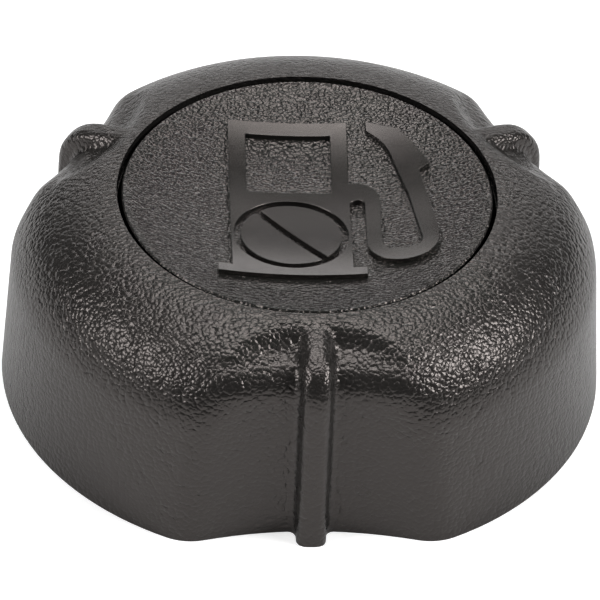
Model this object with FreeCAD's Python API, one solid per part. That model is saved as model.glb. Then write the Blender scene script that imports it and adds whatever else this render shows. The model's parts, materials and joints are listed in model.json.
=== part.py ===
import FreeCAD, Part
import math
import os

from FreeCAD import Vector

# Screw-on vented fuel filler cap with three lobes. Millimetres and degrees.
# +Z is up, the axis is X = Y = 0, and Z = 0 is the plane of the bottom rim.
# The neck's thread sets the bore, and the radii of the other pieces build up from it.

# Threaded body: collar, ceiling and valve well
BORE_R = 22.0               # bottom of the thread
BORE_DEPTH = 10.0
COLLAR_WALL = 1.5
GASKET_POCKET_STEP = 0.3    # the gasket's pocket is this much smaller than the bore
CEILING_THICKNESS = 1.5
COLLAR_TOP_GAP = 0.2        # from the collar's top up to where the flute walls turn over
UPSTAND_WALL = 1.2
SNAP_Z = 2.0                # middle of the snap beads
SNAP_BEAD_HEIGHT = 0.8
SNAP_BEAD_REACH = 0.35
SNAP_GROOVE_DEPTH = 0.5
SNAP_CLEARANCE = 0.2
SNAP_BEAD_WIDTH = 9.8
FIN_ANGLE = 29.0            # from the middle of a flute
FIN_THICKNESS = 1.6
FIN_CLEARANCE = 0.15
FIN_BOTTOM_Z = 0.8
AIR_NOTCH_WIDTH = 3.0
AIR_NOTCH_DEPTH = 1.6

# Gasket
GASKET_THICKNESS = 1.8
GASKET_WIDTH = 3.4
GASKET_GAP = 0.2            # above the end of the bore
GASKET_CLEARANCE = 0.1
GASKET_RIB_WIDTH = 0.7
GASKET_RIB_HEIGHT = 1.3

# Outer form of the shell
COLLAR_CLEARANCE = 0.1
SHELL_WALL = 1.9
FLUTE_DEPTH = 4.5           # from the lobes at the rim to the flutes' floor
WALL_DRAFT = 3.2            # inward lean of the lobe walls
CROWN_RADIUS = 13.0
CROWN_SLOPES = (5.0, 38.5)  # at the land, and where the lobe's shoulder starts
SEAT_THICKNESS = 1.9        # of the shell's ceiling under the disc's rim

# Three finger flutes between the lobes, each with a scoop at the top and a rib
FLUTE_ANGLES = (270.0, 30.0, 150.0)
FLUTE_PLAN_RADIUS = 41.8
FLUTE_SHOULDER_RADIUS = 3.65
FLUTE_CORNER_RADIUS = 5.0
LEDGE_SLOPE = 17.0
LEDGE_DROP = 2.4            # from the top land to where the ledge turns over
LEDGE_WIDTH = 0.3
SCOOP_PLAN_RADIUS = 25.7
SCOOP_FOOT_RADIUS = 2.9
SCOOP_SLOPES = (8.0, 55.0)  # at the top land, and at the steepest place
SCOOP_START_RISE = 0.03     # the scoop's curve starts this much above the land
CROWN_SEAM_INSET = 0.5      # from the flutes' floor in to the seam of the crown
RIB_REACH = 2.4             # out of the flute's floor, at the rim
RIB_DRAFT = 1.0
RIB_WIDTH = 3.0
RIB_CREST_RADIUS = 24.0
RIB_CREST_DROP = 0.3        # depth of the crest's root below the top land
RIB_SLOPES = (3.0, 17.0)    # at the root, and where the nose starts
RIB_NOSE_RADIUS = 4.5
RIB_CREST_ROUND = 1.0
RIB_BASE_FILLET = 0.8
RIB_OVERLAP = 2.0           # how far the base fillet runs in over the ledge past its own radius

# Dished top disc, snapped into the shell
LAND_WIDTH = 0.15           # between the disc's pocket and the start of the crown
DISC_GAP = 0.35             # groove between the disc and the shell
DISC_EDGE_DROP = 0.1
DISC_DISH_RADIUS = 61.0
DISC_THICKNESS = 1.6
DISC_FLANGE = 1.6           # thickness of the rim that rests on the shell
DISC_HEADROOM = 0.55        # from the valve's cover to the disc's underside
DISC_EDGE_ROUND = 0.3
SEAT_WIDTH = 1.7            # of the shell's ledge under the disc's rim
SPIGOT_CLEARANCE = 0.15
LEG_COUNT = 6
LEG_WIDTH = 5.0
LEG_THICKNESS = 1.3
HOOK_REACH = 0.7
HOOK_HEIGHT = 0.8
HOOK_CLEARANCE = 0.15

# Valve well in the middle of the ceiling
WELL_R = 8.0
WELL_WALL = 1.4
WELL_FLOOR_GAP = 0.3        # above the end of the bore
WELL_FLOOR_THICKNESS = 1.2
WELL_DEPTH = 5.7            # from the well's rim to its floor
WELL_HOLE_R = 4.0
SEAT_LIP_GAP = 0.4          # from the hole to the valve's seat
SEAT_LIP_WIDTH = 0.6
SEAT_LIP_HEIGHT = 0.4
WELL_SLOT_COUNT = 4
WELL_SLOT_WIDTH = 2.0
WELL_SLOT_HEIGHT = 1.4
WELL_SLOT_GAP = 0.5         # above the ceiling
COVER_LEDGE = 0.4

# Valve
SEAL_THICKNESS = 0.7
SEAL_OVERHANG = 0.8         # of the seal past its seat
SEAL_HOLE_GAP = 0.9         # from the stem to the seal's hole
PLATE_THICKNESS = 0.6
SLIDE_CLEARANCE = 0.08
PLATE_NOTCH_COUNT = 4
PLATE_NOTCH_R = 1.3
POPPET_HEAD_R = 2.9
POPPET_HEAD_THICKNESS = 0.8
STEM_R = 0.8
VACUUM_SPRING_LENGTH = 2.4
CLIP_THICKNESS = 0.4
CLIP_WIDTH = 1.1            # of the clip's ring beyond the stem
CLIP_GROOVE_DEPTH = 0.22
CLIP_CLEARANCE = 0.03
STEM_ABOVE_CLIP = 0.3
COVER_THICKNESS = 1.0
COVER_CLEARANCE = 0.05
COVER_HOLE_GAP = 0.7        # round the clip
COVER_HOLE_LAND = 0.5       # from the hole to the spigot
COVER_VENT_COUNT = 4
COVER_VENT_R = 0.9
COVER_VENT_INSET = 2.0      # from the well's wall
COVER_SPIGOT_HEIGHT = 0.6
COVER_SPIGOT_WALL = 0.6
SPRING_GAP = 0.03           # between a spring and what it bears on
SPRING_SIDE_GAP = 0.15      # between a spring and what centres it
PRESSURE_WIRE_R = 0.225
PRESSURE_TURNS = 2.5
VACUUM_WIRE_R = 0.14
VACUUM_TURNS = 3.0

# Foam ring round the well
FILTER_WIDTH = 5.5
FILTER_HEIGHT = 3.0
FILTER_CLEARANCE = 0.1
FILTER_RIB_WIDTH = 0.8
FILTER_RIB_HEIGHT = 1.4


def sine(angle):
    return math.sin(math.radians(angle))


def cosine(angle):
    return math.cos(math.radians(angle))


def tangent(angle):
    return math.tan(math.radians(angle))


# Radii worked out from the ones above
COLLAR_R = BORE_R + COLLAR_WALL
FLUTE_FLOOR_R = COLLAR_R + COLLAR_CLEARANCE + SHELL_WALL
RIM_R = FLUTE_FLOOR_R + FLUTE_DEPTH
GASKET_POCKET_R = BORE_R - GASKET_POCKET_STEP
GASKET_R = GASKET_POCKET_R - GASKET_CLEARANCE
GASKET_INNER_R = GASKET_R - GASKET_WIDTH
WELL_OUTER_R = WELL_R + WELL_WALL
FILTER_INNER_R = WELL_OUTER_R + FILTER_CLEARANCE
FILTER_R = FILTER_INNER_R + FILTER_WIDTH
SEAT_LIP_R = WELL_HOLE_R + SEAT_LIP_GAP
SEAL_R = SEAT_LIP_R + SEAT_LIP_WIDTH + SEAL_OVERHANG
SEAL_HOLE_R = STEM_R + SEAL_HOLE_GAP
CLIP_R = STEM_R + CLIP_WIDTH
COVER_HOLE_R = CLIP_R + COVER_HOLE_GAP
COVER_SPIGOT_R = COVER_HOLE_R + COVER_HOLE_LAND + COVER_SPIGOT_WALL
PRESSURE_SPRING_R = COVER_SPIGOT_R + SPRING_SIDE_GAP + PRESSURE_WIRE_R
VACUUM_SPRING_R = STEM_R + 2 * SPRING_SIDE_GAP + VACUUM_WIRE_R
SHOULDER_R = FLUTE_FLOOR_R - FLUTE_SHOULDER_RADIUS * (1 - sine(LEDGE_SLOPE))
SCOOP_FOOT_R = SHOULDER_R - LEDGE_WIDTH

# The scoop's section: two arcs that meet where it is steepest. The crown starts where the
# scoop does, and the disc's pocket lies just inside.
SCOOP_FOOT_DROP = LEDGE_DROP - LEDGE_WIDTH * tangent(LEDGE_SLOPE)
SCOOP_TURN_DROP = SCOOP_FOOT_DROP - SCOOP_FOOT_RADIUS * (cosine(LEDGE_SLOPE) - cosine(SCOOP_SLOPES[1]))
SCOOP_TURN_R = SCOOP_FOOT_R - SCOOP_FOOT_RADIUS * (sine(SCOOP_SLOPES[1]) - sine(LEDGE_SLOPE))
SCOOP_BROW_RADIUS = ((SCOOP_START_RISE + SCOOP_TURN_DROP)
                     / (cosine(SCOOP_SLOPES[0]) - cosine(SCOOP_SLOPES[1])))
LAND_R = SCOOP_TURN_R - SCOOP_BROW_RADIUS * (sine(SCOOP_SLOPES[1]) - sine(SCOOP_SLOPES[0]))
POCKET_R = LAND_R - LAND_WIDTH
DISC_R = POCKET_R - DISC_GAP
SEAT_OPENING_R = DISC_R - SEAT_WIDTH
SPIGOT_R = SEAT_OPENING_R - SPIGOT_CLEARANCE
DISH_DEPTH = DISC_DISH_RADIUS - math.sqrt(DISC_DISH_RADIUS ** 2 - DISC_R ** 2)

# Heights worked out from the ones above
GASKET_Z = BORE_DEPTH + GASKET_GAP
CEILING_Z = GASKET_Z + GASKET_THICKNESS
CEILING_TOP_Z = CEILING_Z + CEILING_THICKNESS
WELL_FLOOR_Z = BORE_DEPTH + WELL_FLOOR_GAP
WELL_FLOOR_TOP_Z = WELL_FLOOR_Z + WELL_FLOOR_THICKNESS
WELL_TOP_Z = WELL_FLOOR_TOP_Z + WELL_DEPTH
SEAL_Z = WELL_FLOOR_TOP_Z + SEAT_LIP_HEIGHT
PLATE_Z = SEAL_Z + SEAL_THICKNESS
PLATE_TOP_Z = PLATE_Z + PLATE_THICKNESS
COVER_Z = WELL_TOP_Z - COVER_THICKNESS
CLIP_Z = PLATE_TOP_Z + VACUUM_SPRING_LENGTH
DISC_EDGE_Z = WELL_TOP_Z + DISC_HEADROOM + DISC_THICKNESS + DISH_DEPTH
SEAT_Z = DISC_EDGE_Z - DISC_FLANGE
CAVITY_TOP_Z = SEAT_Z - SEAT_THICKNESS
TOP_Z = DISC_EDGE_Z + DISC_EDGE_DROP
LEDGE_Z = TOP_Z - LEDGE_DROP
COLLAR_TOP_Z = LEDGE_Z - FLUTE_SHOULDER_RADIUS * cosine(LEDGE_SLOPE) - COLLAR_TOP_GAP

ORIGIN = Vector(0, 0, 0)
UP = Vector(0, 0, 1)
BELOW = 3.0                 # how far cutting shapes reach past a face


class Outline:
    """A closed outline in the XZ plane, drawn from the inside outwards."""

    def __init__(self, x, z):
        self.start = Vector(x, 0, z)
        self.end = self.start
        self.edges = []

    def line(self, x, z):
        target = Vector(x, 0, z)
        self.edges.append(Part.makeLine(self.end, target))
        self.end = target
        return self

    def bend(self, radius, slope, next_slope):
        """An arc that falls at `slope` where it starts and at `next_slope` where it ends."""
        side = radius if next_slope > slope else -radius
        centre = self.end - Vector(side * sine(slope), 0, side * cosine(slope))

        def at(angle):
            return centre + Vector(side * sine(angle), 0, side * cosine(angle))

        middle = at((slope + next_slope) / 2)
        target = at(next_slope)
        self.edges.append(Part.Arc(self.end, middle, target).toShape())
        self.end = target
        return self

    def follow(self, edge):
        """Carries on along an edge that starts where the outline has got to."""
        self.edges.append(edge)
        self.end = edge.valueAt(edge.LastParameter)
        return self

    def face(self):
        if self.end.distanceToPoint(self.start) > 1e-6:
            self.line(self.start.x, self.start.z)
        return Part.Face(Part.Wire(self.edges))

    def revolved(self, axis_x=0.0, seam=180.0):
        """The outline turned round the vertical at axis_x, with its seam turned away."""
        solid = self.face().revolve(Vector(axis_x, 0, 0), UP, 360)
        solid.rotate(Vector(axis_x, 0, 0), UP, seam)
        return solid


def tube(inner_r, outer_r, low_z, high_z):
    solid = Part.makeCylinder(outer_r, high_z - low_z, Vector(0, 0, low_z))
    if inner_r > 0:
        bore = Part.makeCylinder(inner_r, high_z - low_z + 2 * BELOW, Vector(0, 0, low_z - BELOW))
        solid = solid.cut(bore)
    return solid


def radial_box(inner_r, outer_r, width, low_z, high_z):
    """A box along +X from inner_r to outer_r."""
    corner = Vector(inner_r, -width / 2, low_z)
    return Part.makeBox(outer_r - inner_r, width, high_z - low_z, corner)


def turned_copies(shape, angles):
    copies = []
    for angle in angles:
        copy = shape.copy()
        copy.rotate(ORIGIN, UP, angle)
        copies.append(copy)
    return copies


def ring_angles(count, first=0.0):
    return [first + 360.0 * i / count for i in range(count)]


# Outer form

def lobe_round(inset=0.0, bottom_z=0.0):
    """The shell's round form with no flutes: rim, drafted wall, shoulder and crown."""
    land_slope, shoulder_slope = CROWN_SLOPES
    wall_slope = 90 - WALL_DRAFT
    outline = Outline(0, bottom_z).line(0, TOP_Z - inset)
    outline.line(LAND_R - inset * sine(land_slope), TOP_Z - inset * cosine(land_slope))
    outline.bend(CROWN_RADIUS - inset, land_slope, shoulder_slope)
    crown_end = outline.end
    rim_r = RIM_R - inset / cosine(WALL_DRAFT)
    reach = rim_r - crown_end.z * tangent(WALL_DRAFT) - crown_end.x
    fall = cosine(shoulder_slope) - cosine(wall_slope)
    run = sine(wall_slope) - sine(shoulder_slope)
    outline.bend(reach / (run - tangent(WALL_DRAFT) * fall), shoulder_slope, wall_slope)
    outline.line(rim_r - bottom_z * tangent(WALL_DRAFT), bottom_z)
    return outline.revolved(seam=90)


def flute_cutter(inset=0.0, open_inwards=False):
    """What one flute takes away below its ledge, for the flute on +X."""
    start_x = SHOULDER_R - inset * sine(LEDGE_SLOPE)
    start_z = LEDGE_Z - inset * cosine(LEDGE_SLOPE)
    far_x = RIM_R + BELOW
    high_z = TOP_Z + BELOW
    if open_inwards:
        outline = Outline(SEAT_OPENING_R, high_z)
        outline.line(SEAT_OPENING_R, start_z + (start_x - SEAT_OPENING_R) * tangent(LEDGE_SLOPE))
    else:
        outline = Outline(start_x - (high_z - start_z) / tangent(60), high_z)
    outline.line(start_x, start_z)
    outline.bend(FLUTE_SHOULDER_RADIUS - inset, LEDGE_SLOPE, 90)
    outline.line(outline.end.x, -BELOW).line(far_x, -BELOW).line(far_x, high_z)
    return outline.revolved(FLUTE_FLOOR_R + FLUTE_PLAN_RADIUS)


def scoop_cutter():
    """The crescent hollow above the ledge of one flute, for the flute on +X."""
    land_slope, steepest = SCOOP_SLOPES
    far_x = RIM_R + BELOW
    high_z = TOP_Z + BELOW
    outline = Outline(LAND_R, high_z).line(LAND_R, TOP_Z + SCOOP_START_RISE)
    outline.bend(SCOOP_BROW_RADIUS, land_slope, steepest)
    outline.bend(SCOOP_FOOT_RADIUS, steepest, LEDGE_SLOPE)
    outline.line(far_x, outline.end.z - (far_x - outline.end.x) * tangent(LEDGE_SLOPE))
    outline.line(far_x, high_z)
    return outline.revolved(LAND_R + SCOOP_PLAN_RADIUS)


def upright_corners(shape, low_z, high_z):
    """The edges where the flute walls meet the lobe walls."""
    corners = []
    for edge in shape.Edges:
        box = edge.BoundBox
        if box.ZMin < low_z + 0.1 and box.ZMax > high_z:
            corners.append(edge)
    return corners


def lobed_form():
    """Three lobes with rounded corners, flutes and scoops, solid inside."""
    whole = lobe_round()
    scoops = turned_copies(scoop_cutter(), FLUTE_ANGLES)
    wide_flutes = turned_copies(flute_cutter(open_inwards=True), FLUTE_ANGLES)
    rounded = whole.cut(wide_flutes).cut(scoops).removeSplitter()
    corners = upright_corners(rounded, 0, TOP_Z / 2)
    rounded = rounded.makeFillet(FLUTE_CORNER_RADIUS, corners)
    # The wide flutes also took some of the crown inside the ledges, which comes back here.
    flutes = turned_copies(flute_cutter(), FLUTE_ANGLES)
    core = tube(0, FLUTE_FLOOR_R - CROWN_SEAM_INSET, -BELOW, TOP_Z + BELOW)
    crown = whole.cut(flutes).cut(scoops).common(core)
    return rounded.fuse(crown).removeSplitter()


def grip_rib():
    """One rib down the middle of a flute, for the flute on +X, with a rounded crest and nose."""
    root_slope, nose_slope = RIB_SLOPES
    nose_drop = RIB_NOSE_RADIUS * (cosine(nose_slope) - sine(RIB_DRAFT))
    crest_drop = RIB_CREST_RADIUS * (cosine(root_slope) - cosine(nose_slope))
    crest_run = RIB_CREST_RADIUS * (sine(nose_slope) - sine(root_slope))
    root_z = TOP_Z - RIB_CREST_DROP
    foot_z = root_z - crest_drop - nose_drop
    tip_r = FLUTE_FLOOR_R + RIB_REACH
    foot_r = tip_r - foot_z * tangent(RIB_DRAFT)
    root_r = foot_r - RIB_NOSE_RADIUS * (cosine(RIB_DRAFT) - sine(nose_slope)) - crest_run
    back_r = SEAT_OPENING_R + 1
    outline = Outline(back_r, 0).line(back_r, root_z).line(root_r, root_z)
    outline.bend(RIB_CREST_RADIUS, root_slope, nose_slope)
    outline.bend(RIB_NOSE_RADIUS, nose_slope, 90 - RIB_DRAFT)
    outline.line(tip_r, 0)
    rib = outline.face().extrude(Vector(0, RIB_WIDTH, 0))
    rib.translate(Vector(0, -RIB_WIDTH / 2, 0))
    crest = []
    for edge in rib.Edges:
        middle = edge.valueAt((edge.FirstParameter + edge.LastParameter) / 2)
        on_side = abs(abs(middle.y) - RIB_WIDTH / 2) < 0.01
        if on_side and middle.x > root_r + 0.1 and middle.z > 0.1:
            crest.append(edge)
    rib = rib.makeFillet(RIB_CREST_ROUND, crest)
    flare = rib_flare()
    return rib.fuse([flare, flare.mirror(ORIGIN, Vector(0, 1, 0))]).removeSplitter()


def rib_flare():
    """The concave blend along one side of a rib, up the flute wall and in over its ledge."""
    buried = 0.3
    side = RIB_WIDTH / 2
    inwards = RIB_BASE_FILLET + RIB_OVERLAP
    path = Outline(SHOULDER_R - inwards, LEDGE_Z + inwards * tangent(LEDGE_SLOPE))
    path.line(SHOULDER_R, LEDGE_Z).bend(FLUTE_SHOULDER_RADIUS, LEDGE_SLOPE, 90)
    path.line(FLUTE_FLOOR_R, 0)

    def at(out, across):
        return Vector(FLUTE_FLOOR_R + out, side + across, 0)

    low = 1 - cosine(45)
    blend = Part.Arc(at(0, RIB_BASE_FILLET), at(RIB_BASE_FILLET * low, RIB_BASE_FILLET * low),
                     at(RIB_BASE_FILLET, 0))
    corners = [at(RIB_BASE_FILLET, 0), at(RIB_BASE_FILLET, -buried), at(-buried, -buried),
               at(-buried, RIB_BASE_FILLET), at(0, RIB_BASE_FILLET)]
    section = Part.Wire([blend.toShape(), Part.makePolygon(corners)])
    return Part.Wire(path.edges[::-1]).makePipeShell([section], True, False)


# Shell

def shell_hollow():
    """The space inside the shell that the threaded body fits into."""
    form = lobe_round(SHELL_WALL, -BELOW)
    flutes = turned_copies(flute_cutter(SHELL_WALL, open_inwards=True), FLUTE_ANGLES)
    return form.cut(flutes).common(tube(0, RIM_R, -BELOW, CAVITY_TOP_Z))


def disc_pocket():
    low_z = SEAT_Z
    pocket = tube(0, POCKET_R, low_z, TOP_Z + BELOW)
    return pocket.fuse(tube(0, SEAT_OPENING_R, CAVITY_TOP_Z - BELOW, low_z + 0.1))


def snap_beads():
    ring = tube(COLLAR_R - SNAP_BEAD_REACH, COLLAR_R + COLLAR_CLEARANCE + SHELL_WALL / 2,
                SNAP_Z - SNAP_BEAD_HEIGHT / 2, SNAP_Z + SNAP_BEAD_HEIGHT / 2)
    window = radial_box(0, RIM_R, SNAP_BEAD_WIDTH, 0, TOP_Z)
    return [ring.common(copy) for copy in turned_copies(window, FLUTE_ANGLES)]


def cap_shell():
    shell = lobed_form().fuse(turned_copies(grip_rib(), FLUTE_ANGLES))
    shell = shell.cut(shell_hollow()).cut(disc_pocket())
    return shell.fuse(snap_beads()).removeSplitter()


# Top disc

def dish_z(radius):
    """Height of the disc's top face at a radius."""
    rise = math.sqrt(DISC_DISH_RADIUS ** 2 - DISC_R ** 2)
    return DISC_EDGE_Z + rise - math.sqrt(DISC_DISH_RADIUS ** 2 - radius ** 2)


def dish_arc(from_r, to_r, depth=0.0):
    """A piece of the dish's curve, `depth` below the top face."""
    radii = (from_r, (from_r + to_r) / 2, to_r)
    points = [Vector(radius, 0, dish_z(radius) - depth) for radius in radii]
    return Part.Arc(*points).toShape()


def top_disc():
    edge_r = DISC_R - DISC_EDGE_ROUND
    under_z = dish_z(SPIGOT_R) - DISC_THICKNESS
    outline = Outline(0, dish_z(0) - DISC_THICKNESS).line(0, dish_z(0))
    outline.follow(dish_arc(0, edge_r, 0))
    outline.line(DISC_R, outline.end.z - DISC_EDGE_ROUND)
    outline.line(DISC_R, SEAT_Z).line(SPIGOT_R, SEAT_Z).line(SPIGOT_R, under_z)
    outline.follow(dish_arc(SPIGOT_R, 0, DISC_THICKNESS))
    disc = outline.revolved()
    return disc.fuse(snap_legs(under_z + DISC_THICKNESS / 3)).removeSplitter()


def snap_legs(root_z):
    hook_top = CAVITY_TOP_Z - HOOK_CLEARANCE
    outline = Outline(SPIGOT_R - LEG_THICKNESS, root_z).line(SPIGOT_R, root_z)
    outline.line(SPIGOT_R, hook_top).line(SPIGOT_R + HOOK_REACH, hook_top)
    outline.line(SPIGOT_R, hook_top - HOOK_HEIGHT)
    outline.line(SPIGOT_R - LEG_THICKNESS, hook_top - HOOK_HEIGHT)
    ring = outline.revolved()
    window = radial_box(0, RIM_R, LEG_WIDTH, 0, TOP_Z)
    return [ring.common(copy) for copy in turned_copies(window, ring_angles(LEG_COUNT))]


# Threaded body

def collar():
    """Collar with the thread's bore, gasket pocket, ceiling and upstand, as one turned form."""
    solid = tube(0, COLLAR_R, 0, COLLAR_TOP_Z)
    bore = tube(0, BORE_R, -BELOW, BORE_DEPTH)
    pocket = tube(0, GASKET_POCKET_R, BORE_DEPTH - 0.1, CEILING_Z)
    chamber = tube(0, COLLAR_R - UPSTAND_WALL, CEILING_TOP_Z, COLLAR_TOP_Z + BELOW)
    groove_half = SNAP_BEAD_HEIGHT / 2 + SNAP_CLEARANCE
    groove = tube(COLLAR_R - SNAP_GROOVE_DEPTH, RIM_R, SNAP_Z - groove_half, SNAP_Z + groove_half)
    return solid.cut([bore, pocket, chamber, groove])


def drive_fins():
    """Fins that reach into the lobes beside the flutes, so that the shell turns the body."""
    room = lobe_round(SHELL_WALL + FIN_CLEARANCE, -BELOW)
    cutter = flute_cutter(SHELL_WALL + FIN_CLEARANCE, open_inwards=True)
    room = room.cut(turned_copies(cutter, FLUTE_ANGLES))
    blank = radial_box(COLLAR_R - UPSTAND_WALL / 2, RIM_R, FIN_THICKNESS, FIN_BOTTOM_Z, CEILING_TOP_Z)
    blank = blank.cut(tube(0, COLLAR_R - SNAP_GROOVE_DEPTH, -BELOW, TOP_Z))
    angles = [angle + side * FIN_ANGLE for angle in FLUTE_ANGLES for side in (-1, 1)]
    return [room.common(copy) for copy in turned_copies(blank, angles)]


def valve_well():
    walls = tube(WELL_R, WELL_OUTER_R, WELL_FLOOR_Z, WELL_TOP_Z)
    floor = tube(WELL_HOLE_R, WELL_OUTER_R, WELL_FLOOR_Z, WELL_FLOOR_TOP_Z)
    lip = tube(SEAT_LIP_R, SEAT_LIP_R + SEAT_LIP_WIDTH, WELL_FLOOR_TOP_Z - 0.1, SEAL_Z)
    counterbore = tube(0, WELL_R + COVER_LEDGE, COVER_Z, WELL_TOP_Z + BELOW)
    slot_z = CEILING_TOP_Z + WELL_SLOT_GAP
    slot = radial_box(WELL_R - 1, WELL_OUTER_R + 1, WELL_SLOT_WIDTH, slot_z, slot_z + WELL_SLOT_HEIGHT)
    well = walls.fuse([floor, lip]).cut(counterbore)
    return well.cut(turned_copies(slot, ring_angles(WELL_SLOT_COUNT, 45)))


def threaded_body():
    body = collar().cut(tube(0, WELL_R + WELL_WALL / 2, -BELOW, TOP_Z))
    gasket_rib_r = GASKET_INNER_R - GASKET_CLEARANCE
    gasket_rib = tube(gasket_rib_r - GASKET_RIB_WIDTH, gasket_rib_r,
                      CEILING_Z - GASKET_RIB_HEIGHT, CEILING_Z + 0.1)
    filter_rib_r = FILTER_R + FILTER_CLEARANCE
    filter_rib = tube(filter_rib_r, filter_rib_r + FILTER_RIB_WIDTH,
                      CEILING_TOP_Z - 0.1, CEILING_TOP_Z + FILTER_RIB_HEIGHT)
    body = body.fuse([valve_well(), gasket_rib, filter_rib] + drive_fins())
    notch = radial_box(GASKET_POCKET_R - 1, RIM_R, AIR_NOTCH_WIDTH,
                       COLLAR_TOP_Z - AIR_NOTCH_DEPTH, COLLAR_TOP_Z + BELOW)
    lobe_angles = [angle + 60 for angle in FLUTE_ANGLES]
    return body.cut(turned_copies(notch, lobe_angles)).removeSplitter()


# Gasket and filter

def neck_gasket():
    return tube(GASKET_INNER_R, GASKET_R, GASKET_Z, CEILING_Z)


def vent_filter():
    return tube(FILTER_INNER_R, FILTER_R, CEILING_TOP_Z, CEILING_TOP_Z + FILTER_HEIGHT)


# Valve

def pressure_seal():
    return tube(SEAL_HOLE_R, SEAL_R, SEAL_Z, PLATE_Z)


def pressure_plate():
    plate = tube(STEM_R + SLIDE_CLEARANCE, WELL_R - SLIDE_CLEARANCE, PLATE_Z, PLATE_TOP_Z)
    notch = Part.makeCylinder(PLATE_NOTCH_R, PLATE_THICKNESS + 2, Vector(WELL_R, 0, PLATE_Z - 1))
    return plate.cut(turned_copies(notch, ring_angles(PLATE_NOTCH_COUNT)))


def valve_cover():
    cover_r = WELL_R + COVER_LEDGE - COVER_CLEARANCE
    cover = tube(COVER_HOLE_R, cover_r, COVER_Z, WELL_TOP_Z)
    spigot = tube(COVER_SPIGOT_R - COVER_SPIGOT_WALL, COVER_SPIGOT_R,
                  COVER_Z - COVER_SPIGOT_HEIGHT, COVER_Z + 0.1)
    vent_place = Vector(WELL_R - COVER_VENT_INSET, 0, COVER_Z - 1)
    vent = Part.makeCylinder(COVER_VENT_R, COVER_THICKNESS + 2, vent_place)
    return cover.fuse(spigot).cut(turned_copies(vent, ring_angles(COVER_VENT_COUNT)))


def vacuum_poppet():
    top_z = CLIP_Z + CLIP_THICKNESS + STEM_ABOVE_CLIP
    head_z = SEAL_Z - POPPET_HEAD_THICKNESS
    poppet = tube(0, POPPET_HEAD_R, head_z, SEAL_Z).fuse(tube(0, STEM_R, SEAL_Z - 0.1, top_z))
    groove = tube(STEM_R - CLIP_GROOVE_DEPTH, STEM_R + 1, CLIP_Z, CLIP_Z + CLIP_THICKNESS)
    return poppet.cut(groove).removeSplitter()


def vacuum_clip():
    """C-shaped clip in the groove of the stem."""
    inner_r = STEM_R - CLIP_GROOVE_DEPTH + CLIP_CLEARANCE
    clip = tube(inner_r, CLIP_R, CLIP_Z + CLIP_CLEARANCE, CLIP_Z + CLIP_THICKNESS - CLIP_CLEARANCE)
    mouth = radial_box(0, CLIP_R + 1, 2 * inner_r - 0.1, CLIP_Z - 1, CLIP_Z + CLIP_THICKNESS + 1)
    return clip.cut(mouth)


def coil_spring(mean_r, wire_r, turns, low_z, high_z):
    """An open coil whose wire lies between two heights."""
    length = high_z - low_z - 2 * wire_r
    helix = Part.makeHelix(length / turns, length, mean_r)
    start = helix.Vertexes[0].Point
    section = Part.Wire(Part.makeCircle(wire_r, start, Vector(0, 1, 0)))
    coil = Part.Wire(helix).makePipeShell([section], True, True)
    coil.translate(Vector(0, 0, low_z + wire_r))
    return coil


def pressure_spring():
    return coil_spring(PRESSURE_SPRING_R, PRESSURE_WIRE_R, PRESSURE_TURNS,
                       PLATE_TOP_Z + SPRING_GAP, COVER_Z - SPRING_GAP)


def vacuum_spring():
    return coil_spring(VACUUM_SPRING_R, VACUUM_WIRE_R, VACUUM_TURNS,
                       PLATE_TOP_Z + SPRING_GAP, CLIP_Z - SPRING_GAP)


PARTS = {
    "cap_shell": cap_shell,
    "top_disc": top_disc,
    "threaded_body": threaded_body,
    "neck_gasket": neck_gasket,
    "vent_filter": vent_filter,
    "valve_cover": valve_cover,
    "pressure_plate": pressure_plate,
    "pressure_seal": pressure_seal,
    "pressure_spring": pressure_spring,
    "vacuum_poppet": vacuum_poppet,
    "vacuum_spring": vacuum_spring,
    "vacuum_clip": vacuum_clip,
}


def main():
    os.makedirs("parts", exist_ok=True)
    for name, build in PARTS.items():
        shape = build()
        print(name, "solids", len(shape.Solids), "valid", shape.isValid(), "volume", round(shape.Volume, 1))
        shape.exportStep(f"parts/{name}.step")


main()
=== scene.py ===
# %% [markdown]
# Fuel filler cap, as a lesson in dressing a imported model.
# The frame holds every piece at its real size, in metres. This file gives the pieces their finish, adds what
# is too fine for the solids, and sets up a small photo studio round the cap.

# %% Load the frame
import json
import math

import bpy
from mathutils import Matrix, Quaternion, Vector

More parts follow.
